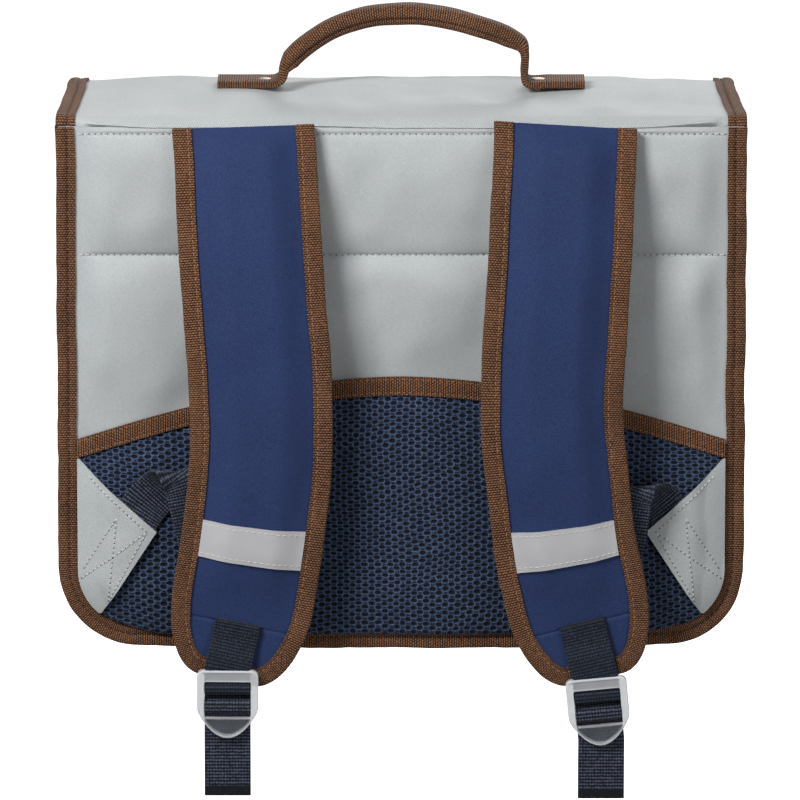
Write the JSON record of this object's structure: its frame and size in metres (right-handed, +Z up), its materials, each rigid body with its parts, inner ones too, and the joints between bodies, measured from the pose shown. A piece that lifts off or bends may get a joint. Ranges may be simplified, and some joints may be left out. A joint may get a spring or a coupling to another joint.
{
  "type": "school satchel",
  "caption": "Boxy cloth school satchel with padded shoulder straps, a quilted back with a lumbar mesh pad, a closed flap and a carry handle.",
  "frame": {"origin": "under the middle of the carry handle's grip, where a hand, hook or peg holds the hanging bag", "axes": "+Z up, -Y the side that lies on the wearer's back, +X to the right as that side is looked at"},
  "size_m": [0.38, 0.2087, 0.4281],
  "materials": {
    "cloth": "woven cool grey cloth",
    "padding": "woven blue cloth over foam",
    "mesh": "navy spacer mesh",
    "tape": "ribbed brown tape",
    "webbing": "ribbed dark navy webbing",
    "reflective": "silver reflective cloth",
    "plastic": "frosted, half clear",
    "metal": "satin"
  },
  "bodies": {
    "root": {"back_panel": "cloth", "gusset": "cloth", "front_panel": "cloth", "flap": "cloth", "back_binding": "tape", "front_binding": "tape", "flap_binding": "tape", "lumbar_mesh_pad": "mesh", "lumbar_tape": "tape", "handle": "tape", "corner_patch_left": "cloth", "adjuster_web_left": "webbing", "shoulder_strap_left": "padding", "strap_binding_left": "tape", "reflective_strip_left": "reflective", "web_tab_left": "webbing", "buckle_left": "plastic", "rivet_left": "metal", "clasp_left": "metal", "corner_patch_right": "cloth", "adjuster_web_right": "webbing", "shoulder_strap_right": "padding", "strap_binding_right": "tape", "reflective_strip_right": "reflective", "web_tab_right": "webbing", "buckle_right": "plastic", "rivet_right": "metal", "clasp_right": "metal"}
  },
  "joints": []
}
